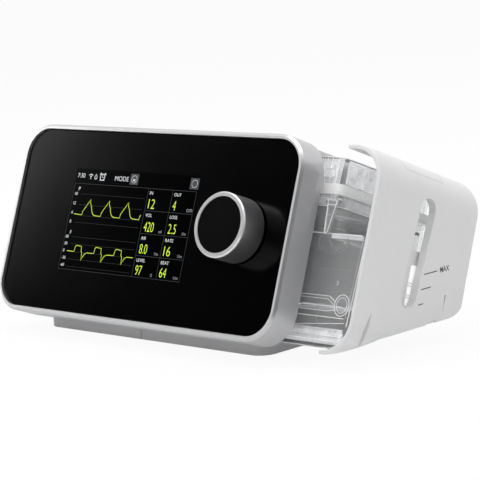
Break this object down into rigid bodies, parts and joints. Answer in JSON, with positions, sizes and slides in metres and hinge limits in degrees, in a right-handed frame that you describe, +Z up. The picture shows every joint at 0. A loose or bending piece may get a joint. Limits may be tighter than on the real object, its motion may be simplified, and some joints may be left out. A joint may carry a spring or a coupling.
{
  "type": "bilevel pap machine",
  "caption": "Tabletop bilevel breathing machine with a leaning glass front, a push-and-turn knob, a rear hose outlet and a humidifier tank drawer that slides out of its side.",
  "frame": {"origin": "on the table, under the middle of the whole part's box, with the drawer pulled out as the picture shows it", "axes": "+X to the user's right, the way the drawer slides out; +Y from the screen to the rear wall; +Z up"},
  "size_m": [0.244, 0.1444, 0.1112],
  "materials": {
    "satin_aluminium": "satin, anodised",
    "black_glass": "gloss black printed glass",
    "display": "gloss",
    "black_plastic": "matte moulded",
    "knob_metal": "turned and brushed",
    "knob_black": "gloss black",
    "circuit_board": "solder mask",
    "steel": "bright",
    "white_plastic": "fine matte moulded",
    "grey_plastic": "fine matte moulded",
    "rubber": "matte",
    "milky_silicone": "translucent silicone",
    "grey_foam": "open-cell foam",
    "filter_pad": "fibre pad",
    "clear_plastic": "clear polycarbonate",
    "heater_metal": "plain",
    "heater_film": "polyimide film",
    "insulator": "mica board"
  },
  "bodies": {
    "main_unit": {"bezel": "satin_aluminium", "front_glass": "black_glass", "front_carrier": "black_plastic", "display_module": "display", "main_board": "circuit_board", "encoder_body": "steel", "housing": "white_plastic", "rear_cover": "white_plastic", "bay_wall": "grey_plastic", "drawer_rails": "grey_plastic", "port_seals": "milky_silicone", "base_left": "grey_plastic", "base_right": "grey_plastic", "rubber_feet": "rubber", "base_screws": "steel", "heater_plate": "heater_metal", "heater_element": "heater_film", "heater_insulator": "insulator", "blower_lower_case": "black_plastic", "blower_upper_case": "black_plastic", "blower_motor": "steel", "silicone_mounts": "milky_silicone", "inlet_foam": "grey_foam", "outlet_duct": "milky_silicone", "outlet_manifold": "grey_plastic", "air_outlet": "grey_plastic", "flow_sensor": "black_plastic", "filter_frame": "grey_plastic", "air_filter": "filter_pad", "filter_cover_pin": "steel", "data_socket": "steel", "port_board": "circuit_board", "port_cover_pin": "steel", "power_inlet": "black_plastic", "start_switch": "circuit_board", "power_board": "circuit_board", "speaker": "black_plastic"},
    "knob_press": {"encoder_plunger": "steel"},
    "knob": {"knob_shaft": "steel", "knob_body": "knob_metal", "knob_face": "knob_black"},
    "fan_wheel": {"motor_shaft": "steel", "impeller": "white_plastic"},
    "start_button": {"start_button": "grey_plastic"},
    "filter_cover": {"filter_cover": "white_plastic"},
    "port_cover": {"port_cover": "white_plastic"},
    "drawer": {"tank_shell": "white_plastic", "tank_tub": "clear_plastic", "tank_base_plate": "heater_metal", "tank_base_seal": "milky_silicone", "tank_gasket": "milky_silicone", "tank_lid": "clear_plastic", "lid_hinge_pin": "steel", "splash_baffle": "clear_plastic", "tank_inlet_tube": "clear_plastic", "tank_outlet_tube": "clear_plastic", "latch_pin": "steel"},
    "release_button": {"release_button": "white_plastic"},
    "lid_latch": {"lid_latch": "clear_plastic"}
  },
  "joints": [
    {"name": "drawer_slide", "type": "slide", "parent": "main_unit", "child": "drawer", "axis": [1, 0, 0], "range_m": [-0.036, 0.068]},
    {"name": "knob_push", "type": "slide", "parent": "main_unit", "child": "knob_press", "axis": [0, 0.9336, -0.3584], "range_m": [0, 0.0008], "stiffness_N_per_m": 2000, "springref_m": -0.0005},
    {"name": "knob_turn", "type": "hinge", "parent": "knob_press", "child": "knob", "pos_m": [0.0516, -0.05115, 0.06377], "axis": [0, -0.9336, 0.3584], "continuous": true},
    {"name": "fan_spin", "type": "hinge", "parent": "main_unit", "child": "fan_wheel", "pos_m": [-0.08, 0.00564, 0.057], "axis": [0, 0, 1], "continuous": true},
    {"name": "start_push", "type": "slide", "parent": "main_unit", "child": "start_button", "axis": [0, -0.3584, -0.9336], "range_m": [0, 0.001], "stiffness_N_per_m": 1500, "springref_m": -0.0005},
    {"name": "filter_cover_swing", "type": "hinge", "parent": "main_unit", "child": "filter_cover", "pos_m": [-0.076, 0.04526, 0.03238], "axis": [-1, 0, 0], "range_deg": [0, 90]},
    {"name": "port_cover_swing", "type": "hinge", "parent": "main_unit", "child": "port_cover", "pos_m": [-0.12075, -0.02462, 0.04636], "axis": [0, -0.9336, 0.3584], "range_deg": [0, 90]},
    {"name": "release_push", "type": "slide", "parent": "drawer", "child": "release_button", "axis": [0, -0.3584, -0.9336], "range_m": [0, 0.0015], "stiffness_N_per_m": 1200, "springref_m": -0.0005},
    {"name": "lid_latch_swing", "type": "hinge", "parent": "drawer", "child": "lid_latch", "pos_m": [0.0932, -0.02667, 0.0773], "axis": [-1, 0, 0], "range_deg": [0, 35]}
  ]
}
